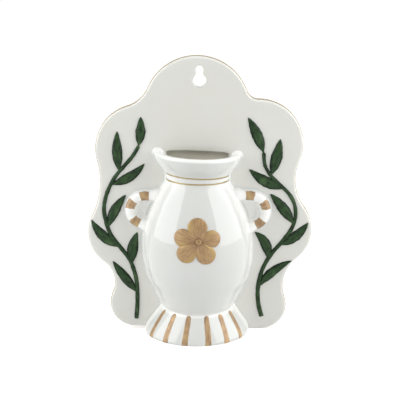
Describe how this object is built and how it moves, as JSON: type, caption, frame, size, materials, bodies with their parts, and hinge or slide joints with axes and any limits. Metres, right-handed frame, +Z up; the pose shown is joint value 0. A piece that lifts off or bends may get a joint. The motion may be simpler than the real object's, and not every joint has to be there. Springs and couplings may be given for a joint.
{
  "type": "hanging wall vase",
  "caption": "Glazed ceramic wall vase: half urn with a flared lip, fluted foot and two handles on a lobed back plate with a keyhole, a relief flower and leafy vines.",
  "frame": {"origin": "on the back face, at the centre of the keyhole's round entry hole", "axes": "+Z up the wall, +Y out of the back face into the wall, front towards -Y, +X to the right seen from the front"},
  "size_m": [0.169, 0.048, 0.21],
  "materials": {
    "white_glaze": "gloss",
    "plate_glaze": "gloss",
    "gold_lustre": "satin",
    "leaf_glaze": "gloss",
    "stem_glaze": "gloss"
  },
  "bodies": {
    "root": {"back_plate": "plate_glaze", "vase_shell": "white_glaze", "vase_floor": "white_glaze", "foot_skirt": "white_glaze", "handle_left": "white_glaze", "handle_right": "white_glaze", "petal_1": "gold_lustre", "petal_2": "gold_lustre", "petal_3": "gold_lustre", "petal_4": "gold_lustre", "petal_5": "gold_lustre", "flower_centre": "gold_lustre", "stem_left": "stem_glaze", "leaf_left_1": "leaf_glaze", "leaf_left_2": "leaf_glaze", "leaf_left_3": "leaf_glaze", "leaf_left_4": "leaf_glaze", "leaf_left_5": "leaf_glaze", "leaf_left_6": "leaf_glaze", "leaf_left_7": "leaf_glaze", "stem_right": "stem_glaze", "leaf_right_1": "leaf_glaze", "leaf_right_2": "leaf_glaze", "leaf_right_3": "leaf_glaze", "leaf_right_4": "leaf_glaze", "leaf_right_5": "leaf_glaze", "leaf_right_6": "leaf_glaze", "leaf_right_7": "leaf_glaze"}
  },
  "joints": []
}
